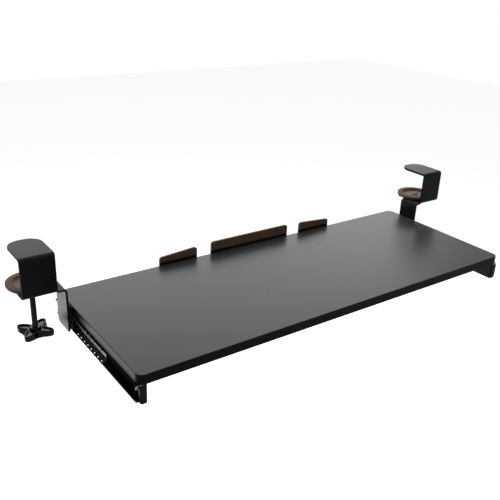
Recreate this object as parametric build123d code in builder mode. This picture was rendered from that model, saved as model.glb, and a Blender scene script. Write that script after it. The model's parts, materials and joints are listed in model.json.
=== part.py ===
from build123d import *
import os
from math import cos, radians, sin

# A keyboard tray that hangs from two desk-edge clamps and slides on ball-bearing rails.
# Millimetres, with X to the right, Y from front to back and Z up.
# The origin is the desk's top front edge, midway between the clamps, and the tray is pulled out.
# Side pieces are drawn on the right and mirrored to the left.

# Values that many pieces share
overrun = 1.0
running_clearance = 0.05
play = 0.3

# Board
board_width = 670.0
board_depth = 250.0
board_thickness = 14.0
board_corner_radius = 10.0
board_edge_round = 0.8
board_drop = 80.5
board_pullout = 196.0

# Bent steel clamp with its hanger leg
plate_thickness = 3.0
clamp_width = 47.0
clamp_height = 58.5
clamp_bend_radius = 5.0
jaw_reach = 60.0
jaw_corner_radius = 20.0
foot_reach = 57.0
foot_corner_radius = 6.0
wing_reach = 10.0
hanger_bend_radius = 6.5
hanger_depth = 37.0
hanger_tail = 9.8
hanger_corner_radius = 7.0

# Rubber liner under the top jaw
liner_thickness = 1.5
liner_inset = 2.0

# Clamp screw, its welded nut, knob and pad
screw_diameter = 8.0
screw_setback = 33.5
screw_tip_diameter = 6.0
screw_head_diameter = 11.0
screw_head_height = 1.2
nut_across_flats = 13.0
nut_height = 8.0
knob_drop = 121.5
knob_radius = 27.0
knob_waist_radius = 11.0
knob_tip_radius = 4.5
knob_arm_count = 4
knob_arm_height = 8.6
knob_edge_round = 1.2
knob_rim = 1.5
knob_recess_depth = 1.6
knob_hub_diameter = 18.0
knob_hub_height = 13.0
knob_hub_round = 1.5
knob_bore_depth = 10.0
pad_diameter = 66.0
pad_height = 4.0
pad_floor_thickness = 1.7
pad_rim_width = 9.0
pad_edge_chamfer = 1.2
pad_face_thickness = 1.0
pad_lift_off = 1.0

# Ball-bearing slide
rail_inset = 10.0
rail_gap = 0.5
rail_height = 23.4
rail_sheet = 1.2
rail_bend_radius = 2.0
slide_width = 16.0
ball_diameter = 3.2
ball_spacing = 11.0
race_clearance = 0.1
race_depth = 0.4
lip_gap = 1.2
lip_rise_gap = 0.5
flange_past_ball = 1.1
fixed_rail_length = 46.0
fixed_rail_lead = 9.0
fixed_rail_corner = 6.0
cage_length = 163.0
cage_lead = 87.0
cage_end = 4.0
cage_sheet = 0.8
cage_bend_radius = 1.0
cage_web_gap = 2.8
cage_flange_past_ball = 0.8
cage_pocket_clearance = 0.15
cage_band_height = 7.5
cage_rib_width = 3.6

# Angle that carries the slide under the board
angle_thickness = 2.0
angle_leg_width = 17.0
angle_height = 26.0
angle_bend_radius = 3.0
angle_front_chamfer = 8.0
tab_reach = 9.0
tab_top_gap = 2.5
tab_corner_radius = 4.0

# Back stops
stop_thickness = 3.0
stop_corner_radius = 5.0
centre_stop_width = 156.0
centre_stop_rise = 19.5
side_stop_width = 67.0
side_stop_gap = 27.0
side_stop_inner_rise = 17.8
side_stop_outer_rise = 13.2

# Fasteners
rivet_diameter = 4.0
rivet_head_diameter = 7.0
rivet_head_height = 1.2
board_screw_diameter = 3.5
board_screw_head_diameter = 7.5
board_screw_head_height = 2.0
board_screw_length = 12.0
board_screws_per_side = 3
angle_fastener_inset = 26.0
rail_rivets_per_side = 3
hanger_rivet_spacing = 21.0
stop_screw_diameter = 3.0
stop_screw_head_diameter = 6.5
stop_screw_head_height = 1.8
stop_screw_length = 16.0
stop_screw_inset = 14.0
stop_screws_on_centre = 3

# Heights worked out from the desk top down
jaw_under_z = liner_thickness
jaw_top_z = jaw_under_z + plate_thickness
foot_under_z = jaw_top_z - clamp_height
foot_top_z = foot_under_z + plate_thickness
board_top_z = -board_drop
board_under_z = board_top_z - board_thickness
board_middle_z = (board_top_z + board_under_z) / 2
rail_z = board_under_z - rail_gap - rail_height / 2
hanger_bottom_z = rail_z - hanger_tail

# Distances worked out from the middle to the side
board_edge_x = board_width / 2
rail_x = board_edge_x - rail_inset
hanger_inner_x = rail_x + slide_width
hanger_outer_x = hanger_inner_x + plate_thickness
clamp_inner_x = hanger_outer_x + wing_reach
clamp_x = clamp_inner_x + clamp_width / 2

# Distances worked out from front to back
clamp_front_y = -plate_thickness
board_front_y = -board_pullout
board_back_y = board_front_y + board_depth
board_middle_y = (board_front_y + board_back_y) / 2
angle_front_y = board_front_y
rail_front_y = angle_front_y + angle_bend_radius
fixed_rail_front_y = clamp_front_y - fixed_rail_lead
fixed_rail_back_y = fixed_rail_front_y + fixed_rail_length
cage_front_y = fixed_rail_front_y - cage_lead
cage_back_y = cage_front_y + cage_length
hanger_back_y = clamp_front_y + hanger_depth

# Slide section, measured out from the middle and up or down from the rail's centre
ball_radius = ball_diameter / 2
race_radius = ball_radius + race_clearance
ball_rise = rail_height / 2 - rail_sheet - race_radius
ball_x = hanger_inner_x - rail_sheet - lip_gap - rail_sheet - race_radius
fixed_flange_rise = ball_rise - race_radius + race_depth
cage_web_x = ball_x - flange_past_ball - cage_web_gap - cage_sheet / 2

# Rows of fasteners along the tray angle
fastener_row_length = board_depth - 2 * angle_fastener_inset


def section_plane(back_y, height=0):
    """A plane across the slide, seen from the front, whose extrusion runs forward from back_y."""
    return Plane(origin=(0, back_y, height), x_dir=(1, 0, 0), z_dir=(0, -1, 0))


def polar_point(radius, angle, side=0):
    """A point at a radius and an angle, shifted sideways from the ray by side."""
    turn = radians(angle)
    return (radius * cos(turn) - side * sin(turn), radius * sin(turn) + side * cos(turn))


def write(part, name):
    """Label one finished piece and write it."""
    part.label = name
    export_step(part, f"parts/{name}.step")


def write_pair(piece, name):
    """Write a right-hand piece and its mirror image on the left."""
    with BuildPart() as left_piece:
        mirror(piece.part, about=Plane.YZ)
    write(piece.part, f"right_{name}")
    write(left_piece.part, f"left_{name}")


os.makedirs("parts", exist_ok=True)

# Board, with blind holes for the screws under it and behind it
board_screw_x = rail_x - angle_leg_width / 2
board_screw_pitch = fastener_row_length / (board_screws_per_side - 1)
board_screw_ys = [board_middle_y + board_screw_pitch * (n - (board_screws_per_side - 1) / 2)
                  for n in range(board_screws_per_side)]
board_screw_spots = [(board_screw_x, y) for y in board_screw_ys]
left_screw_spots = [(-board_screw_x, y) for y in board_screw_ys]
board_screw_depth = board_screw_length - angle_thickness
side_stop_x = centre_stop_width / 2 + side_stop_gap + side_stop_width / 2
centre_screw_pitch = (centre_stop_width / 2 - stop_screw_inset) * 2 / (stop_screws_on_centre - 1)
side_screw_pitch = side_stop_width - 2 * stop_screw_inset
stop_screw_xs = [centre_screw_pitch * (n - (stop_screws_on_centre - 1) / 2)
                 for n in range(stop_screws_on_centre)]
for side in (-1, 1):
    for end in (-1, 1):
        stop_screw_xs.append(side * side_stop_x + end * side_screw_pitch / 2)
stop_screw_spots = [(x, board_middle_z) for x in stop_screw_xs]
stop_screw_depth = stop_screw_length - stop_thickness

with BuildPart() as platform_board:
    with BuildSketch(Plane.XY.offset(board_under_z)):
        with Locations((0, board_middle_y)):
            RectangleRounded(board_width, board_depth, board_corner_radius)
    extrude(amount=board_thickness)
    fillet(platform_board.faces().sort_by(Axis.Z)[-1].edges(), board_edge_round)
    fillet(platform_board.faces().sort_by(Axis.Z)[0].edges(), board_edge_round)
    with BuildSketch(Plane.XY.offset(board_under_z)):
        with Locations(*board_screw_spots, *left_screw_spots):
            Circle(board_screw_diameter / 2 + running_clearance)
    extrude(amount=board_screw_depth + overrun, mode=Mode.SUBTRACT)
    with BuildSketch(section_plane(board_back_y)):
        with Locations(*stop_screw_spots):
            Circle(stop_screw_diameter / 2 + running_clearance)
    extrude(amount=stop_screw_depth + overrun, mode=Mode.SUBTRACT)
write(platform_board.part, "platform_board")

# Clamp bracket, one bent plate: top jaw, front plate, foot, and a hanger leg bent down from the foot's wing
bend_line_radius = clamp_bend_radius - plate_thickness / 2
hanger_line_radius = hanger_bend_radius - plate_thickness / 2
jaw_line_z = jaw_under_z + plate_thickness / 2
foot_line_z = foot_under_z + plate_thickness / 2
front_line_y = clamp_front_y + plate_thickness / 2
hanger_line_x = hanger_inner_x + plate_thickness / 2
hanger_rivet_y = (clamp_front_y + hanger_back_y) / 2
with BuildPart() as clamp_bracket:
    with BuildSketch(Plane.YZ.offset(clamp_inner_x)):
        with BuildLine():
            FilletPolyline((jaw_reach, jaw_line_z), (front_line_y, jaw_line_z), (front_line_y, foot_line_z),
                           (foot_reach, foot_line_z), radius=bend_line_radius)
        trace(line_width=plate_thickness)
    extrude(amount=clamp_width)
    upright_edges = clamp_bracket.edges().filter_by(Axis.Z).filter_by(lambda edge: edge.center().Y > 0)
    fillet(upright_edges.group_by(Axis.Z)[-1].sort_by(Axis.Y)[-2:], jaw_corner_radius)
    upright_edges = clamp_bracket.edges().filter_by(Axis.Z).filter_by(lambda edge: edge.center().Y > 0)
    fillet(upright_edges.group_by(Axis.Z)[0].sort_by(Axis.Y)[-2:], foot_corner_radius)
    with BuildSketch(section_plane(hanger_back_y)):
        with BuildLine():
            FilletPolyline((clamp_inner_x, foot_line_z), (hanger_line_x, foot_line_z),
                           (hanger_line_x, hanger_bottom_z), radius=hanger_line_radius)
        trace(line_width=plate_thickness)
    extrude(amount=hanger_depth)
    lowest_edges = clamp_bracket.edges().filter_by(Axis.X).group_by(Axis.Z)[0]
    fillet(lowest_edges.sort_by(Axis.Y)[-1], hanger_corner_radius)
    with BuildSketch(Plane.XY.offset(foot_under_z)):
        with Locations((clamp_x, screw_setback)):
            Circle(screw_diameter / 2 + running_clearance)
    extrude(amount=plate_thickness, mode=Mode.SUBTRACT)
    with BuildSketch(Plane.YZ.offset(hanger_inner_x)):
        with Locations((hanger_rivet_y, rail_z)):
            with GridLocations(hanger_rivet_spacing, 0, 2, 1):
                Circle(rivet_diameter / 2)
    extrude(amount=plate_thickness, mode=Mode.SUBTRACT)
write_pair(clamp_bracket, "clamp_bracket")

# Rubber liner glued under the jaw
liner_length = jaw_reach - 2 * liner_inset
liner_corner_radius = jaw_corner_radius - liner_inset
with BuildPart() as jaw_liner:
    with BuildSketch():
        with Locations((clamp_x, jaw_reach / 2)):
            Rectangle(clamp_width - 2 * liner_inset, liner_length)
    extrude(amount=liner_thickness)
    fillet(jaw_liner.edges().filter_by(Axis.Z).group_by(Axis.Y)[-1], liner_corner_radius)
write_pair(jaw_liner, "jaw_liner")

# Nut welded under the foot
with BuildPart() as weld_nut:
    with BuildSketch(Plane.XY.offset(foot_under_z)):
        with Locations((clamp_x, screw_setback)):
            RegularPolygon(nut_across_flats / 2, side_count=6, major_radius=False)
            Circle(screw_diameter / 2 + running_clearance, mode=Mode.SUBTRACT)
    extrude(amount=-nut_height)
write_pair(weld_nut, "weld_nut")

# Pad: a moulded disc with a raised rim round a shallow well, turned about the screw's axis
pad_under_z = foot_top_z + pad_lift_off
pad_rim_z = pad_under_z + pad_height
pad_floor_z = pad_under_z + pad_floor_thickness
pad_radius = pad_diameter / 2
well_radius = pad_radius - pad_rim_width
well_slope = pad_height - pad_floor_thickness
tip_radius = screw_tip_diameter / 2
pad_hole_radius = tip_radius + running_clearance
screw_axis = Axis((clamp_x, screw_setback, 0), (0, 0, 1))
turning_plane = Plane(origin=(clamp_x, screw_setback, 0), x_dir=(1, 0, 0), z_dir=(0, -1, 0))
with BuildPart() as pad_disc:
    with BuildSketch(turning_plane):
        with BuildLine():
            Polyline((pad_hole_radius, pad_under_z), (pad_radius - pad_edge_chamfer, pad_under_z),
                     (pad_radius, pad_under_z + pad_edge_chamfer), (pad_radius, pad_rim_z),
                     (well_radius, pad_rim_z), (well_radius - well_slope, pad_floor_z),
                     (pad_hole_radius, pad_floor_z), close=True)
        make_face()
    revolve(axis=screw_axis)
write_pair(pad_disc, "pad_disc")

# Rubber ring on the pad's rim
with BuildPart() as pad_face:
    with BuildSketch(Plane.XY.offset(pad_rim_z)):
        with Locations((clamp_x, screw_setback)):
            Circle(pad_radius)
            Circle(well_radius, mode=Mode.SUBTRACT)
    extrude(amount=pad_face_thickness)
    fillet(pad_face.edges().group_by(Axis.Z)[-1], pad_face_thickness / 2)
write_pair(pad_face, "pad_face")

# Clamp screw: a long shank, a turned-down tip through the pad and a riveted head in the pad's well
knob_z = -knob_drop
knob_top_z = knob_z + knob_hub_height / 2
shank_bottom_z = knob_top_z - knob_bore_depth
shank_top_z = pad_under_z - play
head_under_z = pad_floor_z + play
head_top_z = head_under_z + screw_head_height
with BuildPart() as clamp_screw:
    with BuildSketch(turning_plane):
        with BuildLine():
            Polyline((0, shank_bottom_z), (screw_diameter / 2, shank_bottom_z),
                     (screw_diameter / 2, shank_top_z), (tip_radius, shank_top_z),
                     (tip_radius, head_under_z),
                     (screw_head_diameter / 2, head_under_z), (tip_radius, head_top_z), (0, head_top_z),
                     close=True)
        make_face()
    revolve(axis=screw_axis)
write_pair(clamp_screw, "clamp_screw")

# Star knob: rounded arms joined by hollow arcs, each arm with a sunk top inside a rim
arm_step = 360 / knob_arm_count
tip_centre_radius = knob_radius - knob_tip_radius
arm_bottom_z = knob_z - knob_arm_height / 2
arm_top_z = arm_bottom_z + knob_arm_height
with BuildPart() as star_knob:
    with BuildSketch(Plane.XY.offset(arm_bottom_z)) as star:
        with Locations((clamp_x, screw_setback)):
            with BuildSketch(mode=Mode.PRIVATE) as star_outline:
                with BuildLine():
                    for arm in range(knob_arm_count):
                        middle = arm_step * (arm + 1 / 2)
                        start = polar_point(tip_centre_radius, middle, -knob_tip_radius)
                        end = polar_point(tip_centre_radius, middle, knob_tip_radius)
                        ThreePointArc(start, polar_point(knob_radius, middle), end)
                        next_start = polar_point(tip_centre_radius, middle + arm_step, -knob_tip_radius)
                        ThreePointArc(end, polar_point(knob_waist_radius, middle + arm_step / 2), next_start)
                make_face()
            add(star_outline.sketch)
    extrude(amount=knob_arm_height)
    fillet(star_knob.faces().sort_by(Axis.Z)[0].edges(), knob_edge_round)
    fillet(star_knob.faces().sort_by(Axis.Z)[-1].edges(), knob_edge_round / 2)
    with BuildSketch(Plane.XY.offset(arm_top_z)):
        with Locations((clamp_x, screw_setback)):
            add(offset(star_outline.sketch, amount=-knob_rim, mode=Mode.PRIVATE))
    extrude(amount=-knob_recess_depth, mode=Mode.SUBTRACT)
    with BuildSketch(Plane.XY.offset(knob_top_z)):
        with Locations((clamp_x, screw_setback)):
            Circle(knob_hub_diameter / 2)
    extrude(amount=-knob_hub_height)
    fillet(star_knob.faces().sort_by(Axis.Z)[-1].edges(), knob_hub_round)
    fillet(star_knob.faces().sort_by(Axis.Z)[0].edges(), knob_hub_round)
    with BuildSketch(Plane.XY.offset(knob_top_z)):
        with Locations((clamp_x, screw_setback)):
            Circle(screw_diameter / 2)
    extrude(amount=-knob_bore_depth, mode=Mode.SUBTRACT)
write_pair(star_knob, "star_knob")

# Moving rail: a channel open to the side, each flange rolled into a race and a lip round its row of balls
race_line_radius = race_radius + rail_sheet / 2
flange_line_rise = ball_rise + race_line_radius
lip_line_x = ball_x + race_line_radius
lip_end_rise = fixed_flange_rise + lip_rise_gap
rail_web_line_x = rail_x + rail_sheet / 2
rail_rivet_pitch = fastener_row_length / (rail_rivets_per_side - 1)
with BuildPart() as tray_rail:
    with BuildSketch(section_plane(board_back_y, rail_z)):
        with BuildLine():
            Line((lip_line_x, -lip_end_rise), (lip_line_x, -ball_rise))
            CenterArc((ball_x, -ball_rise), race_line_radius, 0, -90)
            FilletPolyline((ball_x, -flange_line_rise), (rail_web_line_x, -flange_line_rise),
                           (rail_web_line_x, flange_line_rise), (ball_x, flange_line_rise),
                           radius=rail_bend_radius)
            CenterArc((ball_x, ball_rise), race_line_radius, 90, -90)
            Line((lip_line_x, ball_rise), (lip_line_x, lip_end_rise))
        trace(line_width=rail_sheet)
    extrude(amount=board_back_y - rail_front_y)
    with BuildSketch(Plane.YZ.offset(rail_x)):
        with Locations((board_middle_y, rail_z)):
            with GridLocations(rail_rivet_pitch, 0, rail_rivets_per_side, 1):
                Circle(rivet_diameter / 2)
    extrude(amount=rail_sheet, mode=Mode.SUBTRACT)
write_pair(tray_rail, "tray_rail")

# Fixed rail: a narrower channel on the hanger leg, grooved along both flanges where the balls run
fixed_web_line_x = hanger_inner_x - rail_sheet / 2
fixed_flange_line_rise = fixed_flange_rise - rail_sheet / 2
fixed_tip_x = ball_x - flange_past_ball
with BuildPart() as fixed_rail:
    with BuildSketch(section_plane(fixed_rail_back_y, rail_z)):
        with BuildLine():
            FilletPolyline((fixed_tip_x, -fixed_flange_line_rise),
                           (fixed_web_line_x, -fixed_flange_line_rise),
                           (fixed_web_line_x, fixed_flange_line_rise),
                           (fixed_tip_x, fixed_flange_line_rise), radius=rail_bend_radius)
        trace(line_width=rail_sheet)
        with Locations((ball_x, -ball_rise), (ball_x, ball_rise)):
            Circle(race_radius, mode=Mode.SUBTRACT)
    extrude(amount=fixed_rail_length)
    with BuildSketch(Plane.YZ.offset(fixed_tip_x)):
        with BuildLine():
            Polyline((fixed_rail_back_y + overrun, rail_z - rail_height / 2),
                     (fixed_rail_back_y - fixed_rail_corner - rail_height / 2, rail_z - rail_height / 2),
                     (fixed_rail_back_y + overrun, rail_z + overrun), close=True)
        make_face()
    extrude(amount=slide_width, mode=Mode.SUBTRACT)
    with BuildSketch(Plane.YZ.offset(hanger_inner_x)):
        with Locations((hanger_rivet_y, rail_z)):
            with GridLocations(hanger_rivet_spacing, 0, 2, 1):
                Circle(rivet_diameter / 2)
    extrude(amount=-rail_sheet, mode=Mode.SUBTRACT)
write_pair(fixed_rail, "fixed_rail")

# Rivets that hold the fixed rail to the hanger leg, flush outside
with BuildPart() as hanger_rivets:
    with BuildSketch(Plane.YZ.offset(hanger_outer_x)):
        with Locations((hanger_rivet_y, rail_z)):
            with GridLocations(hanger_rivet_spacing, 0, 2, 1):
                Circle(rivet_diameter / 2)
    extrude(amount=-plate_thickness - rail_sheet)
    with BuildSketch(Plane.YZ.offset(hanger_inner_x - rail_sheet)):
        with Locations((hanger_rivet_y, rail_z)):
            with GridLocations(hanger_rivet_spacing, 0, 2, 1):
                Circle(rivet_head_diameter / 2)
    extrude(amount=-rivet_head_height)
    chamfer(hanger_rivets.edges().group_by(Axis.X)[0], rivet_head_height / 2)
write_pair(hanger_rivets, "hanger_rivets")

# Ball cage: a light strip with pocketed flanges and a ladder of windows beside its middle band
balls_per_row = 1 + int((cage_length - 2 * cage_end) / ball_spacing)
ball_row_middle_y = (cage_front_y + cage_back_y) / 2
cage_tip_x = ball_x + cage_flange_past_ball
window_height = ball_rise - cage_sheet - cage_band_height / 2
window_rise = cage_band_height / 2 + window_height / 2
pocket_radius = ball_radius + cage_pocket_clearance
with BuildPart() as ball_cage:
    with BuildSketch(section_plane(cage_back_y, rail_z)):
        with BuildLine():
            FilletPolyline((cage_tip_x, -ball_rise), (cage_web_x, -ball_rise), (cage_web_x, ball_rise),
                           (cage_tip_x, ball_rise), radius=cage_bend_radius)
        trace(line_width=cage_sheet)
    extrude(amount=cage_length)
    with BuildSketch(Plane.XY.offset(rail_z)):
        with Locations((ball_x, ball_row_middle_y)):
            with GridLocations(0, ball_spacing, 1, balls_per_row):
                Circle(pocket_radius)
    extrude(amount=rail_height / 2, both=True, mode=Mode.SUBTRACT)
    with BuildSketch(Plane.YZ.offset(cage_web_x)):
        with Locations((ball_row_middle_y, rail_z)):
            with GridLocations(ball_spacing, 2 * window_rise, balls_per_row - 1, 2):
                Rectangle(ball_spacing - cage_rib_width, window_height)
    extrude(amount=cage_sheet, both=True, mode=Mode.SUBTRACT)
write_pair(ball_cage, "ball_cage")

# Balls, in an upper and a lower row
with BuildPart(Plane(origin=(ball_x, ball_row_middle_y, rail_z), x_dir=(0, 1, 0), z_dir=(1, 0, 0))) as balls:
    with GridLocations(ball_spacing, 2 * ball_rise, balls_per_row, 2):
        Sphere(ball_radius)
write_pair(balls, "slide_balls")

# Angle under the board, with a tab bent across the front end of the slide
angle_line_radius = angle_bend_radius - angle_thickness / 2
angle_upright_line_x = rail_x - angle_thickness / 2
angle_flat_line_z = board_under_z - angle_thickness / 2
angle_bottom_z = board_under_z - angle_height
angle_inner_x = rail_x - angle_leg_width
tab_line_y = angle_front_y + angle_thickness / 2
tab_height = angle_height - tab_top_gap
with BuildPart() as tray_angle:
    with BuildSketch(section_plane(board_back_y)):
        with BuildLine():
            FilletPolyline((angle_inner_x, angle_flat_line_z), (angle_upright_line_x, angle_flat_line_z),
                           (angle_upright_line_x, angle_bottom_z), radius=angle_line_radius)
        trace(line_width=angle_thickness)
    extrude(amount=board_back_y - rail_front_y)
    front_inner_edge = tray_angle.edges().filter_by(Axis.Z).group_by(Axis.X)[0].sort_by(Axis.Y)[0]
    chamfer(front_inner_edge, angle_front_chamfer)
    with BuildSketch(Plane.XY.offset(angle_bottom_z)):
        with BuildLine():
            FilletPolyline((angle_upright_line_x, rail_front_y + overrun),
                           (angle_upright_line_x, tab_line_y), (rail_x + tab_reach, tab_line_y),
                           radius=angle_line_radius)
        trace(line_width=angle_thickness)
    extrude(amount=tab_height)
    outer_tab_edges = tray_angle.edges().filter_by(Axis.Y).group_by(Axis.X)[-1]
    fillet(outer_tab_edges.sort_by(Axis.Z)[0], tab_corner_radius)
    with BuildSketch(Plane.YZ.offset(rail_x)):
        with Locations((board_middle_y, rail_z)):
            with GridLocations(rail_rivet_pitch, 0, rail_rivets_per_side, 1):
                Circle(rivet_diameter / 2)
    extrude(amount=-angle_thickness, mode=Mode.SUBTRACT)
    with BuildSketch(Plane.XY.offset(board_under_z)):
        with Locations(*board_screw_spots):
            Circle(board_screw_diameter / 2 + running_clearance)
    extrude(amount=-angle_thickness, mode=Mode.SUBTRACT)
write_pair(tray_angle, "tray_angle")

# Rivets through the moving rail and its angle, with a low head each side
with BuildPart() as rail_rivets:
    for head_x, outward in ((rail_x - angle_thickness, -1), (rail_x + rail_sheet, 1)):
        with BuildSketch(Plane.YZ.offset(head_x)):
            with Locations((board_middle_y, rail_z)):
                with GridLocations(rail_rivet_pitch, 0, rail_rivets_per_side, 1):
                    Circle(rivet_head_diameter / 2)
        extrude(amount=outward * rivet_head_height)
    chamfer(rail_rivets.edges().group_by(Axis.X)[0], rivet_head_height / 2)
    chamfer(rail_rivets.edges().group_by(Axis.X)[-1], rivet_head_height / 2)
    with BuildSketch(Plane.YZ.offset(rail_x - angle_thickness)):
        with Locations((board_middle_y, rail_z)):
            with GridLocations(rail_rivet_pitch, 0, rail_rivets_per_side, 1):
                Circle(rivet_diameter / 2)
    extrude(amount=angle_thickness + rail_sheet)
write_pair(rail_rivets, "rail_rivets")

# Screws up through the angle into the board
angle_under_z = board_under_z - angle_thickness
with BuildPart() as board_screws:
    with BuildSketch(Plane.XY.offset(angle_under_z)):
        with Locations(*board_screw_spots):
            Circle(board_screw_head_diameter / 2)
    extrude(amount=-board_screw_head_height)
    chamfer(board_screws.edges().group_by(Axis.Z)[0], board_screw_head_height / 2)
    with BuildSketch(Plane.XY.offset(angle_under_z)):
        with Locations(*board_screw_spots):
            Circle(board_screw_diameter / 2)
    extrude(amount=board_screw_length)
write_pair(board_screws, "board_screws")

# Back stops: plates screwed to the board's back edge
with BuildPart() as centre_stop:
    with BuildSketch(section_plane(board_back_y)):
        with Locations((0, (board_under_z + board_top_z + centre_stop_rise) / 2)):
            Rectangle(centre_stop_width, board_thickness + centre_stop_rise)
        fillet(vertices().group_by(Axis.Y)[-1], stop_corner_radius)
        with Locations(*stop_screw_spots):
            Circle(stop_screw_diameter / 2 + running_clearance, mode=Mode.SUBTRACT)
    extrude(amount=-stop_thickness)
write(centre_stop.part, "centre_stop")

side_stop_inner_x = side_stop_x - side_stop_width / 2
side_stop_outer_x = side_stop_x + side_stop_width / 2
with BuildPart() as side_stop:
    with BuildSketch(section_plane(board_back_y)):
        with BuildLine():
            Polyline((side_stop_inner_x, board_under_z), (side_stop_outer_x, board_under_z),
                     (side_stop_outer_x, board_top_z + side_stop_outer_rise),
                     (side_stop_inner_x, board_top_z + side_stop_inner_rise), close=True)
        make_face()
        fillet(vertices().sort_by(Axis.Y)[-2:], stop_corner_radius)
        with Locations(*stop_screw_spots):
            Circle(stop_screw_diameter / 2 + running_clearance, mode=Mode.SUBTRACT)
    extrude(amount=-stop_thickness)
write_pair(side_stop, "stop")

# Screws through the stops into the board
with BuildPart() as stop_screws:
    with BuildSketch(section_plane(board_back_y + stop_thickness)):
        with Locations(*stop_screw_spots):
            Circle(stop_screw_head_diameter / 2)
    extrude(amount=-stop_screw_head_height)
    chamfer(stop_screws.edges().group_by(Axis.Y)[-1], stop_screw_head_height / 2)
    with BuildSketch(section_plane(board_back_y + stop_thickness)):
        with Locations(*stop_screw_spots):
            Circle(stop_screw_diameter / 2)
    extrude(amount=stop_screw_length)
write(stop_screws.part, "stop_screws")
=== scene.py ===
import json
from math import cos, pi, radians, sin

import bmesh
import bpy
import numpy as np
from mathutils import Matrix, Vector


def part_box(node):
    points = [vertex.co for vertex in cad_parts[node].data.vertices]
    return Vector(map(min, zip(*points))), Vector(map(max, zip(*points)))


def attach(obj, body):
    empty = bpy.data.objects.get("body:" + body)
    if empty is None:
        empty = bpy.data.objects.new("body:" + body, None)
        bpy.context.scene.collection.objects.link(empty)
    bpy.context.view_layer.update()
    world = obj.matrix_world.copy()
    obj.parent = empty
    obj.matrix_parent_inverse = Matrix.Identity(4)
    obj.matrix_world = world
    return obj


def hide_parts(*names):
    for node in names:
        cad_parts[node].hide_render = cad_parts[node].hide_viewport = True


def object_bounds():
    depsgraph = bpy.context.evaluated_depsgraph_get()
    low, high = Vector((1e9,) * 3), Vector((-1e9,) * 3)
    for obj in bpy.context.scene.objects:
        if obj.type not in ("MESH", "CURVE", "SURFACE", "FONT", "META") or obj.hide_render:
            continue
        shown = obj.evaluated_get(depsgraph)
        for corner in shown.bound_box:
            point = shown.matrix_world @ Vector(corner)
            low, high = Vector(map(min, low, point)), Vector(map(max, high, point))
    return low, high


# A black keyboard tray on ball-bearing slides, hung from two desk clamps.
# Metres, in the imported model's frame: the origin is the desk's top front edge.

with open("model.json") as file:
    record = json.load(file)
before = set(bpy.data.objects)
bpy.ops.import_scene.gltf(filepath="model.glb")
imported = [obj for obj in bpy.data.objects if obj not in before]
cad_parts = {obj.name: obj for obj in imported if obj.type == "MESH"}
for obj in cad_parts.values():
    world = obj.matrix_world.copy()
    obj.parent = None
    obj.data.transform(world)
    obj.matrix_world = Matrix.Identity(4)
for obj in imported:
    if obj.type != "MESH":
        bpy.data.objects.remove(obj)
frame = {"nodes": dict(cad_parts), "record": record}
cad_low, cad_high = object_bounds()
nodes = frame["nodes"]
slots = {part["node"]: part["material_slot"] for part in frame["record"]["subparts"]}
MM = 0.001
SIDES = (("left", -1), ("right", 1))

# Camera
IMAGE_WIDTH = 500
FOCAL_PIXELS = 671.5
SENSOR_WIDTH = 36.0
CAMERA_PLACE = Vector((-0.6182, -0.7838, 0.3660))
CAMERA_AZIMUTH = radians(-36.41)
CAMERA_ELEVATION = radians(23.74)
CAMERA_ROLL = radians(2.58)


def add_camera():
    """The photograph's viewpoint, from its azimuth, elevation and roll."""
    back = Vector((sin(CAMERA_AZIMUTH) * cos(CAMERA_ELEVATION),
                   -cos(CAMERA_AZIMUTH) * cos(CAMERA_ELEVATION), sin(CAMERA_ELEVATION)))
    level = Vector((cos(CAMERA_AZIMUTH), sin(CAMERA_AZIMUTH), 0))
    upright = back.cross(level)
    right = cos(CAMERA_ROLL) * level + sin(CAMERA_ROLL) * upright
    up = -sin(CAMERA_ROLL) * level + cos(CAMERA_ROLL) * upright
    data = bpy.data.cameras.new("camera")
    data.sensor_width = SENSOR_WIDTH
    data.lens = FOCAL_PIXELS / IMAGE_WIDTH * SENSOR_WIDTH
    camera = bpy.data.objects.new("camera", data)
    bpy.context.scene.collection.objects.link(camera)
    turned = Matrix((right, up, back)).transposed().to_4x4()
    camera.matrix_world = Matrix.Translation(CAMERA_PLACE) @ turned
    bpy.context.scene.camera = camera


class Value:
    """A shader socket that takes Python's operators, each of which adds a Math node."""

    def __init__(self, shader, socket):
        self.shader = shader
        self.socket = socket

    def math(self, operation, *others):
        return self.shader.node("ShaderNodeMath", {"operation": operation}, [self, *others])

    def __add__(self, other):
        return self.math("ADD", other)

    def __sub__(self, other):
        return self.math("SUBTRACT", other)

    def __rsub__(self, other):
        return self.shader.number(other).math("SUBTRACT", self)

    def __mul__(self, other):
        return self.math("MULTIPLY", other)

    def __abs__(self):
        return self.math("ABSOLUTE")

    __radd__ = __add__
    __rmul__ = __mul__

    def ramp(self, low, high):
        """0 below low, 1 above high, smooth between."""
        return self.shader.node("ShaderNodeMapRange", {"interpolation_type": "SMOOTHSTEP"},
                                {"Value": self, "From Min": low, "From Max": high})


# Sockets of the Mix node in its colour mode
MIX_FACTOR, MIX_LOW, MIX_HIGH, MIX_RESULT = 0, 6, 7, 2


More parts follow.
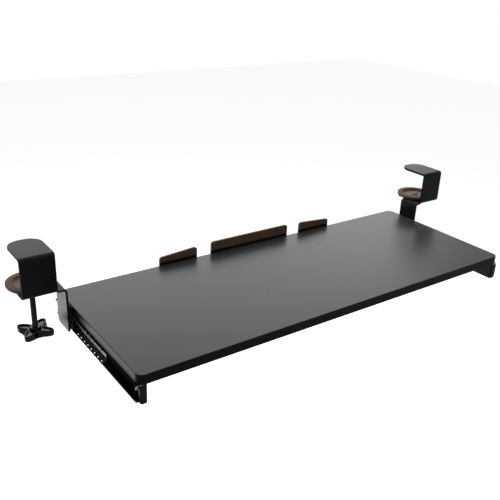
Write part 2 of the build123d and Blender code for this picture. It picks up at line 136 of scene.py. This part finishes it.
class Shader:
    """One material's node tree."""

    def __init__(self, name, **fixed):
        self.material = bpy.data.materials.new(name)
        self.material.use_nodes = True
        self.tree = self.material.node_tree
        self.surface = self.tree.nodes["Principled BSDF"]
        self.fix(fixed)
        self.coordinates = self.node("ShaderNodeTexCoord", {}, {}, "Object")

    def node(self, kind, settings, inputs, output=0):
        """Add a node with its settings first and then its values or links, and return one output."""
        made = self.tree.nodes.new(kind)
        for key, value in settings.items():
            setattr(made, key, value)
        pairs = inputs.items() if isinstance(inputs, dict) else enumerate(inputs)
        for key, value in pairs:
            if isinstance(value, Value):
                self.tree.links.new(value.socket, made.inputs[key])
            else:
                made.inputs[key].default_value = value
        return Value(self, made.outputs[output])

    def set(self, socket, value):
        if isinstance(value, Value):
            self.tree.links.new(value.socket, self.surface.inputs[socket])
        else:
            self.surface.inputs[socket].default_value = value

    def fix(self, fixed):
        """Set the surface's constants, with underscores for the spaces in their names."""
        for socket, value in fixed.items():
            self.set(socket.replace("_", " "), value)

    def number(self, value):
        return self.node("ShaderNodeMath", {"operation": "ADD"}, [value, 0.0])

    def axis(self, letter):
        return self.node("ShaderNodeSeparateXYZ", {}, [self.coordinates], letter)

    def facing(self, letter):
        """How far the surface faces along one axis, from -1 to 1."""
        normal = self.node("ShaderNodeTexCoord", {}, {}, "Normal")
        return self.node("ShaderNodeSeparateXYZ", {}, [normal], letter)

    def noise(self, scale, stretch=(1, 1, 1), detail=2):
        """Noise with about as many features a metre as its scale, longer where the stretch is under 1."""
        place = self.node("ShaderNodeMapping", {}, {"Vector": self.coordinates, "Scale": stretch})
        return self.node("ShaderNodeTexNoise", {}, {"Vector": place, "Scale": scale, "Detail": detail})

    def mix(self, factor, low, high):
        return self.node("ShaderNodeMix", {"data_type": "RGBA"},
                         {MIX_FACTOR: factor, MIX_LOW: low, MIX_HIGH: high}, MIX_RESULT)

    def bump(self, height, distance, strength):
        self.set("Normal", self.node("ShaderNodeBump", {},
                                     {"Height": height, "Distance": distance, "Strength": strength}))

    def second_surface(self, factor, **fixed):
        """Start a second surface, shown where the factor is 1, that later calls of set go to."""
        first = self.surface
        self.surface = self.tree.nodes.new("ShaderNodeBsdfPrincipled")
        self.fix(fixed)
        both = self.node("ShaderNodeMixShader", {}, [factor])
        self.tree.links.new(first.outputs[0], both.socket.node.inputs[1])
        self.tree.links.new(self.surface.outputs[0], both.socket.node.inputs[2])
        self.tree.links.new(both.socket, self.tree.nodes["Material Output"].inputs["Surface"])


def grey(level, warmth=0.0):
    """A near-grey linear colour, warmer with more red and less blue."""
    return (level * (1 + warmth), level, level * (1 - warmth), 1)


def scaled(colour, factor):
    """A linear colour made lighter or darker, and left opaque."""
    return tuple(factor * level for level in colour[:3]) + (1,)


# Colours
PAD_BROWN = (0.105, 0.060, 0.036, 1)
PAD_FACE_BROWN = (0.100, 0.056, 0.033, 1)
STOP_BROWN = (0.150, 0.092, 0.061, 1)
COAT_BLACK = grey(0.012, -0.12)
# Painted shade: the black at the stops' foot, where they stand on the board
STOP_FOOT_SHADE = grey(0.006, 0.3)
RAIL_BLACK = grey(0.004)
SCREW_BLACK = grey(0.020)
KNOB_BLACK = grey(0.005)
LINER_BLACK = grey(0.012)
LAMINATE_DARK, LAMINATE_LIGHT, LAMINATE_FLECK = grey(0.016), grey(0.021), grey(0.029)
BAND_DARK, BAND_LIGHT, BAND_JOINT = grey(0.005), grey(0.009), grey(0.003)
# The clamps' cut edges: a thin dull coat, darkened further as painted shade
CUT_EDGE_SHADED_DARK, CUT_EDGE_SHADED_LIGHT = grey(0.003), grey(0.006)
BARE_STEEL_DARK, BARE_STEEL_LIGHT = grey(0.20), grey(0.45)
# The darkest tones of the cage and of the balls are painted shade, for the parts that lie in the rail's
# shadow
ZINC_DARK, ZINC_LIGHT, ZINC_SHADE = grey(0.10), grey(0.26), grey(0.018)
BALL_DARK, BALL_LIGHT, BALL_SHADE = grey(0.80), grey(0.92), grey(0.05)

# Specular levels, low because the surround that they mirror is white
LAMINATE_GLOSS = 0.10
BAND_GLOSS = 0.028
COAT_GLOSS = 0.035
CUT_EDGE_GLOSS = 0.02
RAIL_GLOSS = 0.03
SCREW_GLOSS = 0.15
BARE_STEEL_GLOSS = 0.4
KNOB_GLOSS = 0.12
PAD_GLOSS = 0.10
PAD_FACE_GLOSS = 0.08
LINER_GLOSS = 0.3

# Noise scales, in features a metre
BOARD_CLOUD, BOARD_FLECKS, BOARD_PEBBLES = 7, 900, 1400
BAND_STREAKS = 500
COAT_CLOUD, COAT_PEEL = 40, 1100
SHEET_STREAKS = 900
ZINC_STREAKS, SHADE_EDGE_NOISE = 700, 260
BALL_HAZE = 600
MOULD_CLOUD, MOULD_GRAIN = 60, 1600

# Relief, as depth and strength
PEBBLE_RELIEF = (0.02 * MM, 0.5)
PEEL_RELIEF = (0.012 * MM, 0.6)
STREAK_RELIEF = (0.01 * MM, 0.4)
MOULD_RELIEF = (0.02 * MM, 0.6)

# Board's edge band and the dark joint beside it, as depths from the board's faces
BAND_FULL, BAND_NONE = 0.7 * MM, 0.3 * MM
JOINT_NONE, JOINT_FULL = 1.1 * MM, 0.8 * MM

# Where the flecks' noise shows, and how far a cut edge or end faces sideways or forward
FLECKS_SHOW = (0.35, 0.75)
EDGE_FACES = (0.4, 0.8)
END_FACES = (0.7, 0.95)

# Where finishes change, and where painted shade starts on the stops, the cage and the balls
STOP_SHADE_TO, STOP_BROWN_FROM, STOP_FADE_WANDER = 3.5 * MM, 7.5 * MM, 2 * MM
CLAMP_PLATE_FROM, CLAMP_PLATE_FULL = 350 * MM, 354 * MM
RAIL_END_FULL, RAIL_END_NONE = 0.2 * MM, 0.5 * MM
# Painted shade on the cage beside its middle band and towards its rear, and on the upper row of balls
ZINC_TO, SHADE_FROM, SHADE_WANDER = 4.2 * MM, 5.6 * MM, 4 * MM
REAR_SHADE_NONE, REAR_SHADE_FULL = -62 * MM, -38 * MM
BALL_SHADE_RISE = 4 * MM


def laminate():
    """Pebbled grey laminate on the two flat faces, and a smoother band glued round the edge."""
    shader = Shader("laminate_board", Specular_IOR_Level=LAMINATE_GLOSS)
    low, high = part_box("platform_board")
    middle, half = (low.z + high.z) / 2, (high.z - low.z) / 2
    rise = abs(shader.axis("Z") - middle)
    cloud = shader.noise(BOARD_CLOUD)
    flecks = shader.noise(BOARD_FLECKS)
    face = shader.mix(cloud, LAMINATE_DARK, LAMINATE_LIGHT)
    shader.set("Base Color", shader.mix(flecks.ramp(*FLECKS_SHOW), face, LAMINATE_FLECK))
    shader.set("Roughness", 0.27 + cloud * 0.05 + flecks * 0.05)
    shader.bump(shader.noise(BOARD_PEBBLES), *PEBBLE_RELIEF)
    band = 1 - rise.ramp(half - BAND_FULL, half - BAND_NONE)
    shader.second_surface(band, Specular_IOR_Level=BAND_GLOSS)
    joint = rise.ramp(half - JOINT_NONE, half - JOINT_FULL)
    streak = shader.noise(BAND_STREAKS, stretch=(1, 1, 8))
    shader.set("Base Color", shader.mix(joint, shader.mix(streak, BAND_DARK, BAND_LIGHT), BAND_JOINT))
    shader.set("Roughness", 0.36 + streak * 0.08)
    return shader.material


def powder_coat(name, roughness):
    """Satin powder coat with a fine orange peel, rougher in patches. The colour is left to set."""
    shader = Shader(name, Specular_IOR_Level=COAT_GLOSS)
    cloud = shader.noise(COAT_CLOUD)
    shader.set("Roughness", roughness + cloud * 0.08)
    shader.bump(shader.noise(COAT_PEEL), *PEEL_RELIEF)
    return shader, cloud


def stop_steel():
    """Brown powder coat, with painted shade darkening it to black towards the board."""
    shader, cloud = powder_coat("powder_brown", roughness=0.42)
    _, board_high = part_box("platform_board")
    rise = shader.axis("Z") - board_high.z + cloud * STOP_FADE_WANDER
    # Painted shade: black at the foot, fading up into the brown
    foot = 1 - rise.ramp(STOP_SHADE_TO, STOP_BROWN_FROM)
    brown = shader.mix(cloud, STOP_BROWN, scaled(STOP_BROWN, 1.3))
    shader.set("Base Color", shader.mix(foot, brown, STOP_FOOT_SHADE))
    return shader.material


def black_steel():
    """Black powder coat, thin and dull on the clamps' cut edges, where its darker colour is painted shade.
    """
    shader, cloud = powder_coat("powder_black", roughness=0.32)
    shader.set("Base Color", shader.mix(cloud, COAT_BLACK, scaled(COAT_BLACK, 1.25)))
    on_clamp = abs(shader.axis("X")).ramp(CLAMP_PLATE_FROM, CLAMP_PLATE_FULL)
    cut_edge = abs(shader.facing("X")).ramp(*EDGE_FACES) * on_clamp
    shader.second_surface(cut_edge, Specular_IOR_Level=CUT_EDGE_GLOSS)
    # The cut edges' darker colour is painted shade; their rougher, less glossy coat is real
    shader.set("Base Color", shader.mix(cloud, CUT_EDGE_SHADED_DARK, CUT_EDGE_SHADED_LIGHT))
    shader.set("Roughness", 0.55 + cloud * 0.1)
    return shader.material


def drawn_sheet(name, colour, metallic, roughness, gloss):
    """Drawn steel with faint streaks along its length."""
    shader = Shader(name, Metallic=metallic, Specular_IOR_Level=gloss)
    streak = shader.noise(SHEET_STREAKS, stretch=(1, 0.02, 1), detail=3)
    shader.set("Base Color", shader.mix(streak, scaled(colour, 0.75), colour))
    shader.set("Roughness", roughness + streak * 0.15)
    shader.bump(streak, *STREAK_RELIEF)
    return shader, streak


def screw_steel():
    """The same sheet finish, blacked, for screws."""
    shader, _ = drawn_sheet("screw_black", SCREW_BLACK, metallic=0.3, roughness=0.30, gloss=SCREW_GLOSS)
    return shader.material


def rail_steel():
    """Black drawn sheet with bare steel on the moving rail's front end."""
    shader, streak = drawn_sheet("rail_black", RAIL_BLACK, metallic=0.0, roughness=0.50, gloss=RAIL_GLOSS)
    low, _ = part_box("left_tray_rail")
    end = 1 - abs(shader.axis("Y") - low.y).ramp(RAIL_END_FULL, RAIL_END_NONE)
    bare = end * abs(shader.facing("Y")).ramp(*END_FACES)
    shader.second_surface(bare, Specular_IOR_Level=BARE_STEEL_GLOSS, Metallic=0.6)
    shader.set("Base Color", shader.mix(streak, BARE_STEEL_DARK, BARE_STEEL_LIGHT))
    shader.set("Roughness", 0.35 + streak * 0.2)
    return shader.material


def cage_strip():
    """Dull zinc along the middle band, with painted shade darkening it towards the flanges and the rear."""
    shader = Shader("cage_zinc")
    low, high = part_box("left_ball_cage")
    rise = abs(shader.axis("Z") - (low.z + high.z) / 2)
    streak = shader.noise(ZINC_STREAKS, stretch=(1, 0.05, 1), detail=3)
    # Painted shade: dark and less metallic beside the middle band and towards the rear
    ragged = rise + shader.noise(SHADE_EDGE_NOISE) * SHADE_WANDER
    rear = shader.axis("Y").ramp(REAR_SHADE_NONE, REAR_SHADE_FULL)
    painted_shade = (ragged.ramp(ZINC_TO, SHADE_FROM) + rear).ramp(0, 1)
    bright = shader.mix(streak, ZINC_DARK, ZINC_LIGHT)
    shader.set("Base Color", shader.mix(painted_shade, bright, ZINC_SHADE))
    shader.set("Metallic", 0.45 - painted_shade * 0.35)
    shader.set("Roughness", 0.34 + painted_shade * 0.12 + streak * 0.1)
    shader.bump(streak, *STREAK_RELIEF)
    return shader.material


def polished_ball():
    """Bright steel in the lower row, and painted shade dulling the upper one, which lies under the rail's
    flange.
    """
    shader = Shader("ball_bright")
    low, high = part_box("left_slide_balls")
    haze = shader.noise(BALL_HAZE)
    # Painted shade: the upper row darker, rougher and less metallic
    painted_shade = (shader.axis("Z") - (low.z + high.z) / 2).ramp(0, BALL_SHADE_RISE)
    bright = shader.mix(haze, BALL_DARK, BALL_LIGHT)
    shader.set("Base Color", shader.mix(painted_shade, bright, BALL_SHADE))
    shader.set("Metallic", 1 - painted_shade * 0.6)
    shader.set("Roughness", 0.12 + haze * 0.08 + painted_shade * 0.3)
    return shader.material


def moulded(name, colour, roughness, gloss):
    """Moulded plastic or rubber with a spark-eroded grain."""
    shader = Shader(name, Specular_IOR_Level=gloss)
    grain = shader.noise(MOULD_GRAIN)
    shader.set("Base Color", shader.mix(shader.noise(MOULD_CLOUD), scaled(colour, 0.8), colour))
    shader.set("Roughness", roughness + grain * 0.1)
    shader.bump(grain, *MOULD_RELIEF)
    return shader.material


finishes = {
    "laminate": laminate(),
    "black_steel": black_steel(),
    "rail_steel": rail_steel(),
    "stop_steel": stop_steel(),
    "screw_steel": screw_steel(),
    "knob_plastic": moulded("knob_black", KNOB_BLACK, roughness=0.18, gloss=KNOB_GLOSS),
    "pad_plastic": moulded("pad_brown", PAD_BROWN, roughness=0.45, gloss=PAD_GLOSS),
    "pad_rubber": moulded("pad_rubber_brown", PAD_FACE_BROWN, roughness=0.6, gloss=PAD_FACE_GLOSS),
    "rubber": moulded("liner_rubber", LINER_BLACK, roughness=0.65, gloss=LINER_GLOSS),
    "zinc": cage_strip(),
    "ball_steel": polished_ball(),
}


def finish_nodes():
    """Give each CAD node the material of its record slot."""
    for node, slot in slots.items():
        mesh = nodes[node].data
        mesh.materials.clear()
        mesh.materials.append(finishes[slot])


# Points nearer than this are one, as at a pole
MERGE_DISTANCE = 0.001 * MM


def grid_object(name, points, slot, body, capped=False, sharp_angle=None):
    """A mesh of closed surfaces from arrays of points, copies by rows by columns, each joined round
    its columns and with its faces turned outwards."""
    points = points.reshape((-1,) + points.shape[-3:])
    copies, rows, columns = points.shape[:3]
    index = np.arange(rows * columns).reshape(rows, columns)
    beside = np.roll(index, -1, axis=1)
    faces = np.stack([index[:-1], beside[:-1], beside[1:], index[1:]], -1).reshape(-1, 4)
    first = points[0].reshape(-1, 3)
    corners = first[faces]
    across = np.cross(corners[:, 2] - corners[:, 0], corners[:, 3] - corners[:, 1])
    outward = np.sum(across * (corners.mean(axis=1) - first.mean(axis=0))) > 0
    faces = faces.tolist()
    if capped:
        faces += [index[0, ::-1].tolist(), index[-1].tolist()]
    if not outward:
        faces = [face[::-1] for face in faces]
    faces = [[corner + copy * rows * columns for corner in face]
             for copy in range(copies) for face in faces]
    mesh = bpy.data.meshes.new(name)
    mesh.from_pydata(points.reshape(-1, 3).tolist(), [], faces)
    merged = bmesh.new()
    merged.from_mesh(mesh)
    bmesh.ops.remove_doubles(merged, verts=merged.verts, dist=MERGE_DISTANCE)
    merged.to_mesh(mesh)
    merged.free()
    mesh.update()
    piece = bpy.data.objects.new(name, mesh)
    bpy.context.scene.collection.objects.link(piece)
    mesh.shade_smooth()
    if sharp_angle:
        mesh.set_sharp_from_angle(angle=sharp_angle)
    mesh.materials.append(finishes[slot])
    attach(piece, body)
    return piece


# Moving rail
RAIL_SHEET = 1.2 * MM
RACE_RADIUS = 1.7 * MM
RAIL_BEND_RADIUS = 2.0 * MM
LOWER_LIP = 0.8 * MM
UPPER_LIP_ANGLE = 55
ARC_STEPS = 9
SHEET_SHARP_ANGLE = radians(30)


def arc(centre, radius, start, end):
    """Points of a circular arc and the directions away from its centre, from angles in degrees."""
    turn = np.radians(np.linspace(start, end, ARC_STEPS))
    away = np.stack([np.cos(turn), np.sin(turn)], -1)
    return np.array(centre) + radius * away, away


def channel_rail(side, outward):
    """A sheet section carried along the slide: lip, race, flange, web, flange and a short lip, as one
    line of arcs, with half the sheet's thickness to each side of it."""
    low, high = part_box(f"{side}_tray_rail")
    width, middle = high.x - low.x, (low.z + high.z) / 2
    web = min(abs(low.x), abs(high.x))
    lip_line = width - RAIL_SHEET / 2
    flange_line = (high.z - low.z) / 2 - RAIL_SHEET / 2
    race = RACE_RADIUS + RAIL_SHEET / 2
    race_across, race_rise = lip_line - race, flange_line - race
    bend_across, bend_rise = RAIL_SHEET / 2 + RAIL_BEND_RADIUS, flange_line - RAIL_BEND_RADIUS
    lines = [(np.array([[lip_line, LOWER_LIP - race_rise]]), np.array([[1.0, 0.0]])),
             arc((race_across, -race_rise), race, 0, -90),
             arc((bend_across, -bend_rise), RAIL_BEND_RADIUS, -90, -180),
             arc((bend_across, bend_rise), RAIL_BEND_RADIUS, 180, 90),
             arc((race_across, race_rise), race, 90, UPPER_LIP_ANGLE)]
    line = np.concatenate([points for points, _ in lines])
    away = np.concatenate([directions for _, directions in lines])
    section = np.concatenate([line + away * RAIL_SHEET / 2, (line - away * RAIL_SHEET / 2)[::-1]])
    across = np.broadcast_to(outward * (web + section[:, 0]), (2, len(section)))
    along = np.broadcast_to(np.array([[low.y], [high.y]]), across.shape)
    height = np.broadcast_to(middle + section[:, 1], across.shape)
    piece = grid_object(f"{side}_channel_rail", np.stack([across, along, height], -1),
                        "rail_steel", "tray", capped=True, sharp_angle=SHEET_SHARP_ANGLE)
    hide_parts(f"{side}_tray_rail")


# Star knob
KNOB_ARMS = 4
KNOB_FIRST_ARM = radians(45)
KNOB_TIP = 4.5 * MM
KNOB_WAIST = 11.0 * MM
KNOB_ARM_POWER = 1.3
KNOB_FOOT_WAIST = 17.5 * MM
KNOB_FOOT_ARM_POWER = 1.6
KNOB_ARM_BOTTOM = 2.2 * MM
KNOB_ARM_TOP = 10.8 * MM
KNOB_EDGE = 1.2 * MM
KNOB_CROWN_INSET = 0.6 * KNOB_EDGE
KNOB_RIM = 1.5 * MM
KNOB_RECESS = 2.2 * MM
KNOB_HUB_RADIUS = 8.0 * MM
KNOB_BORE_RADIUS = 4.1 * MM
KNOB_STEPS = 192
KNOB_SHARP_ANGLE = radians(38)


def star_knob(side):
    """Rings from the underside's middle to the bore: radius is a waist plus a power of the arms'
    cosine wave, with a wide waist at the foot and a narrow one at the top, and the rings inside the
    rim are set in along its normals."""
    low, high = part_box(f"{side}_star_knob")
    centre = (low + high) / 2
    reach = ((high.x - low.x) / 2 - KNOB_TIP) / cos(KNOB_FIRST_ARM) + KNOB_TIP
    turn = np.linspace(0, 2 * pi, KNOB_STEPS, endpoint=False)
    wave = 0.5 + 0.5 * np.cos(KNOB_ARMS * (turn - KNOB_FIRST_ARM))
    spoke = np.stack([np.cos(turn), np.sin(turn)], -1)

    def star(waist, power):
        return spoke * (waist + (reach - waist) * wave ** power)[:, None]

    def inset(ring, distance):
        along = np.roll(ring, -1, axis=0) - np.roll(ring, 1, axis=0)
        outward = np.stack([along[:, 1], -along[:, 0]], -1) / np.linalg.norm(along, axis=1)[:, None]
        return ring - outward * distance

    foot, crown = star(KNOB_FOOT_WAIST, KNOB_FOOT_ARM_POWER), star(KNOB_WAIST, KNOB_ARM_POWER)
    hub, bore = spoke * KNOB_HUB_RADIUS, spoke * KNOB_BORE_RADIUS
    hub_height = high.z - low.z
    recess_floor = KNOB_ARM_TOP - KNOB_RECESS
    third, quarter = KNOB_EDGE / 3, KNOB_EDGE / 4
    rings = [(0 * spoke, 0),
             (inset(hub, KNOB_EDGE), 0),
             (hub, KNOB_EDGE),
             (hub, KNOB_ARM_BOTTOM),
             (inset(foot, KNOB_EDGE), KNOB_ARM_BOTTOM),
             (inset(foot, third), KNOB_ARM_BOTTOM + third),
             (foot, KNOB_ARM_BOTTOM + KNOB_EDGE),
             (crown, KNOB_ARM_TOP - KNOB_EDGE),
             (inset(crown, quarter), KNOB_ARM_TOP - quarter),
             (inset(crown, KNOB_CROWN_INSET), KNOB_ARM_TOP),
             (inset(crown, KNOB_RIM), KNOB_ARM_TOP),
             (inset(crown, KNOB_RIM + quarter), KNOB_ARM_TOP - third),
             (inset(crown, KNOB_RIM + third), recess_floor),
             (hub, recess_floor),
             (hub, hub_height - KNOB_EDGE),
             (inset(hub, KNOB_EDGE), hub_height),
             (bore, hub_height),
             (bore, hub_height - KNOB_EDGE),
             (0 * spoke, hub_height - KNOB_EDGE)]
    points = np.stack([np.concatenate([np.array([centre.x, centre.y]) + ring,
                                       np.full((KNOB_STEPS, 1), low.z + height)], axis=1)
                       for ring, height in rings])
    piece = grid_object(f"{side}_moulded_knob", points, "knob_plastic", f"{side}_screw",
                        sharp_angle=KNOB_SHARP_ANGLE)
    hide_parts(f"{side}_star_knob")


# Threaded clamp screw
THREAD_PITCH = 1.25 * MM
THREAD_DEPTH = 0.55 * MM
THREAD_FADE = 1.5 * MM
THREAD_STEPS = 32
ROWS_PER_TURN = 8
SHANK_RADIUS = 4.0 * MM
SHANK_BELOW_PAD = 0.3 * MM
TIP_RADIUS = 3.0 * MM
RIVET_HEIGHT = 1.2 * MM
RIVET_SHOULDER = 0.85


def clamp_screw(side):
    """A shank whose radius dips with a triangle wave of height minus turn, then a plain tip and a low
    riveted head."""
    low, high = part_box(f"{side}_clamp_screw")
    centre = (low + high) / 2
    pad_low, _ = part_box(f"{side}_pad_disc")
    rivet_radius = (high.x - low.x) / 2
    shank_top = pad_low.z - SHANK_BELOW_PAD
    rows = int((shank_top - low.z) / THREAD_PITCH * ROWS_PER_TURN)
    turn = np.linspace(0, 2 * pi, THREAD_STEPS, endpoint=False)
    height = np.linspace(low.z, shank_top, rows)
    phase = height[:, None] / THREAD_PITCH - turn[None, :] / (2 * pi)
    wave = np.abs((phase % 1) * 2 - 1)
    fade = np.clip(np.minimum(height - low.z, shank_top - height) / THREAD_FADE, 0, 1)
    radius = SHANK_RADIUS - THREAD_DEPTH * wave * fade[:, None]
    rivet_under = high.z - RIVET_HEIGHT
    ends = [(shank_top, TIP_RADIUS), (rivet_under, TIP_RADIUS), (rivet_under, rivet_radius),
            (high.z - RIVET_HEIGHT / 2, rivet_radius * RIVET_SHOULDER), (high.z, TIP_RADIUS), (high.z, 0.0)]
    height = np.concatenate([[low.z], height, [z for z, _ in ends]])
    radius = np.concatenate([np.zeros((1, THREAD_STEPS)), radius, [[r] * THREAD_STEPS for _, r in ends]])
    points = np.stack([centre.x + radius * np.cos(turn), centre.y + radius * np.sin(turn),
                       np.broadcast_to(height[:, None], radius.shape)], -1)
    piece = grid_object(f"{side}_threaded_screw", points, "screw_steel", f"{side}_screw")
    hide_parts(f"{side}_clamp_screw")


# End stop across the top of each moving rail's front
STOP_SHEET = 0.6 * MM
STOP_HEIGHT = 4.0 * MM
STOP_FROM_WEB = 1.2 * MM
STOP_TO_LIP = 0.8 * MM
STOP_EDGE = 0.2 * MM


def end_stop(side, outward):
    """A bevelled rectangle of sheet, as high as the stop, carried across the channel from its web to
    its lip."""
    low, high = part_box(f"{side}_tray_rail")
    web, lip = min(abs(low.x), abs(high.x)), max(abs(low.x), abs(high.x))
    front, back = low.y + STOP_EDGE, low.y + STOP_EDGE + STOP_SHEET
    top, bottom = high.z - RAIL_SHEET, high.z - RAIL_SHEET - STOP_HEIGHT
    section = np.array([[front, bottom + STOP_EDGE], [front, top], [back, top], [back, bottom + STOP_EDGE],
                        [back - STOP_EDGE, bottom], [front + STOP_EDGE, bottom]])
    ends = outward * np.array([web + STOP_FROM_WEB, lip - STOP_TO_LIP])
    across = np.broadcast_to(ends[:, None], (2, len(section)))
    points = np.stack([across, np.broadcast_to(section[:, 0], across.shape),
                       np.broadcast_to(section[:, 1], across.shape)], -1)
    grid_object(f"{side}_rail_end_stop", points, "rail_steel", "tray", capped=True,
                sharp_angle=SHEET_SHARP_ANGLE)


# Cross-headed screws: shank length and diameter, head diameter and height
BOARD_SCREW = (12.0 * MM, 3.5 * MM, 7.5 * MM, 2.0 * MM)
STOP_SCREW = (16.0 * MM, 3.0 * MM, 6.5 * MM, 1.8 * MM)
BOARD_SCREW_ACROSS = 316.5 * MM
BOARD_SCREW_ALONG = np.array([-170.0, -71.0, 28.0]) * MM
STOP_SCREW_ACROSS = np.array([-158.0, -119.0, -64.0, 0.0, 64.0, 119.0, 158.0]) * MM
POINTING_UP = np.array([[1.0, 0, 0], [0, -1, 0], [0, 0, -1]])
POINTING_FORWARD = np.array([[-1.0, 0, 0], [0, 0, 1], [0, 1, 0]])
SCREW_STEPS = 64
HEAD_RINGS = 14
HEAD_SHARP_ANGLE = radians(40)

# As shares of the head's radius
RECESS_REACH, RECESS_HALF_WIDTH, RECESS_SLOPE = 0.55, 0.13, 0.09

# As shares of the head's height
RECESS_DEPTH, DOME_RIM = 0.6, 0.45

# The point's radius and start, as shares of the shank's radius and length
POINT_RADIUS, POINT_START = 0.3, 0.8


def cross_headed_screws(node, places, axes, size):
    """Rings from the tip up the shank and over a low dome, sunk where the nearer of two diameters is
    close by."""
    shank_length, shank_diameter, head_diameter, head_height = size
    turn = np.linspace(0, 2 * pi, SCREW_STEPS, endpoint=False)
    head, shank = head_diameter / 2, shank_diameter / 2
    across = np.linspace(head, 0, HEAD_RINGS)
    reach, half_width, slope = RECESS_REACH * head, RECESS_HALF_WIDTH * head, RECESS_SLOPE * head
    nearest = across[:, None] * np.minimum(np.abs(np.cos(turn)), np.abs(np.sin(turn)))[None, :]
    inside = np.clip((half_width + slope - nearest) / slope, 0, 1)
    inside *= np.clip((reach + slope - across[:, None]) / slope, 0, 1)
    dome = head_height * (DOME_RIM + (1 - DOME_RIM) * np.sqrt(1 - (across / head) ** 2))
    crown = dome[:, None] - RECESS_DEPTH * head_height * inside
    below = [(0, -shank_length), (shank * POINT_RADIUS, -shank_length),
             (shank, -shank_length * POINT_START), (shank, 0), (head, 0)]
    radius = np.concatenate([[r for r, _ in below], across])
    height = np.concatenate([np.repeat([[h] for _, h in below], SCREW_STEPS, axis=1), crown])
    rings = np.stack([radius[:, None] * np.cos(turn), radius[:, None] * np.sin(turn), height], -1)
    points = places[:, None, None, :] + rings @ axes
    piece = grid_object(f"{node}_cross_headed", points, slots[node], "tray", sharp_angle=HEAD_SHARP_ANGLE)
    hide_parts(node)


def board_and_stop_screws():
    """Three screws up through each tray angle, and seven forward through the stops."""
    for side, outward in SIDES:
        low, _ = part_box(f"{side}_board_screws")
        places = np.stack([np.full_like(BOARD_SCREW_ALONG, outward * BOARD_SCREW_ACROSS), BOARD_SCREW_ALONG,
                           np.full_like(BOARD_SCREW_ALONG, low.z + BOARD_SCREW[-1])], -1)
        cross_headed_screws(f"{side}_board_screws", places, POINTING_UP, BOARD_SCREW)
    low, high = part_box("stop_screws")
    places = np.stack([STOP_SCREW_ACROSS, np.full_like(STOP_SCREW_ACROSS, high.y - STOP_SCREW[-1]),
                       np.full_like(STOP_SCREW_ACROSS, (low.z + high.z) / 2)], -1)
    cross_headed_screws("stop_screws", places, POINTING_FORWARD, STOP_SCREW)


# Lamps: place, aim, width and height, and watts
LAMPS = {
    "top_panel": ((0.0, 0.5, 2.0), (0, 0, -0.1), (2.4, 2.0), 45),
    "back_panel": ((0.78, 1.8, 0.95), (0, 0, -0.1), (2.8, 1.3), 35),
    "left_panel": ((-0.90, 0.95, -0.88), (-0.335, -0.1, -0.09), (0.9, 0.8), 9.5),
}
ROOM_LIGHT = 0.22
WHITE = (1, 1, 1, 1)

# Floor
FLOOR_DROP = 1.1
FLOOR_SIZE = 16.0
FLOOR_COLOUR = grey(0.90)
FLOOR_LIFT = 0.75


def area_lamp(name, place, aim, size, power):
    data = bpy.data.lights.new(name, "AREA")
    data.shape = "RECTANGLE"
    data.size, data.size_y = size
    data.energy = power
    lamp = bpy.data.objects.new(name, data)
    bpy.context.scene.collection.objects.link(lamp)
    lamp.location = place
    lamp.rotation_euler = (Vector(aim) - Vector(place)).to_track_quat("-Z", "Y").to_euler()
    lamp.visible_camera = False


def seen_or_mirrored(tree):
    """1 for rays from the camera, a reflection or through glass, and 0 for those that light the scene."""
    path = tree.nodes.new("ShaderNodeLightPath")
    seen = path.outputs["Is Camera Ray"]
    for kind in ("Is Glossy Ray", "Is Transmission Ray"):
        larger = tree.nodes.new("ShaderNodeMath")
        larger.operation = "MAXIMUM"
        tree.links.new(seen, larger.inputs[0])
        tree.links.new(path.outputs[kind], larger.inputs[1])
        seen = larger.outputs[0]
    return seen


def show_when_seen(tree, usual, seen, output):
    """Send one shader to the output where it lights the scene, and another where it is seen."""
    mix = tree.nodes.new("ShaderNodeMixShader")
    tree.links.new(seen_or_mirrored(tree), mix.inputs[0])
    tree.links.new(usual.outputs[0], mix.inputs[1])
    tree.links.new(seen.outputs[0], mix.inputs[2])
    tree.links.new(mix.outputs[0], tree.nodes[output].inputs["Surface"])


def light_scene():
    """Soft panels overhead, behind and low at the left rear, and a white surround that lights little."""
    for name, (place, aim, size, power) in LAMPS.items():
        area_lamp(name, place, aim, size, power)
    world = bpy.data.worlds.new("studio")
    bpy.context.scene.world = world
    world.use_nodes = True
    tree = world.node_tree
    room = tree.nodes["Background"]
    white = tree.nodes.new("ShaderNodeBackground")
    for background, strength in ((room, ROOM_LIGHT), (white, 1.0)):
        background.inputs["Color"].default_value = WHITE
        background.inputs["Strength"].default_value = strength
    show_when_seen(tree, room, white, "World Output")


def add_floor():
    """A plain white floor well below the hung tray, a little brighter to the eye than its light alone
    makes it."""
    half = FLOOR_SIZE / 2
    z = cad_low[2] - FLOOR_DROP
    mesh = bpy.data.meshes.new("floor")
    mesh.from_pydata([(-half, -half, z), (half, -half, z), (half, half, z), (-half, half, z)], [],
                     [(0, 1, 2, 3)])
    floor = bpy.data.objects.new("floor", mesh)
    bpy.context.scene.collection.objects.link(floor)
    shader = Shader("pale_floor", Base_Color=FLOOR_COLOUR, Roughness=0.9, Specular_IOR_Level=0.0)
    glow = shader.node("ShaderNodeEmission", {}, {"Color": WHITE, "Strength": FLOOR_LIFT})
    lifted = shader.node("ShaderNodeAddShader", {}, {}).socket.node
    shader.tree.links.new(shader.surface.outputs[0], lifted.inputs[0])
    shader.tree.links.new(glow.socket, lifted.inputs[1])
    show_when_seen(shader.tree, shader.surface, lifted, "Material Output")
    mesh.materials.append(shader.material)


add_camera()
finish_nodes()
for side, outward in SIDES:
    clamp_screw(side)
    star_knob(side)
    channel_rail(side, outward)
    end_stop(side, outward)
board_and_stop_screws()
add_floor()
light_scene()
bpy.context.scene.view_settings.view_transform = "Standard"
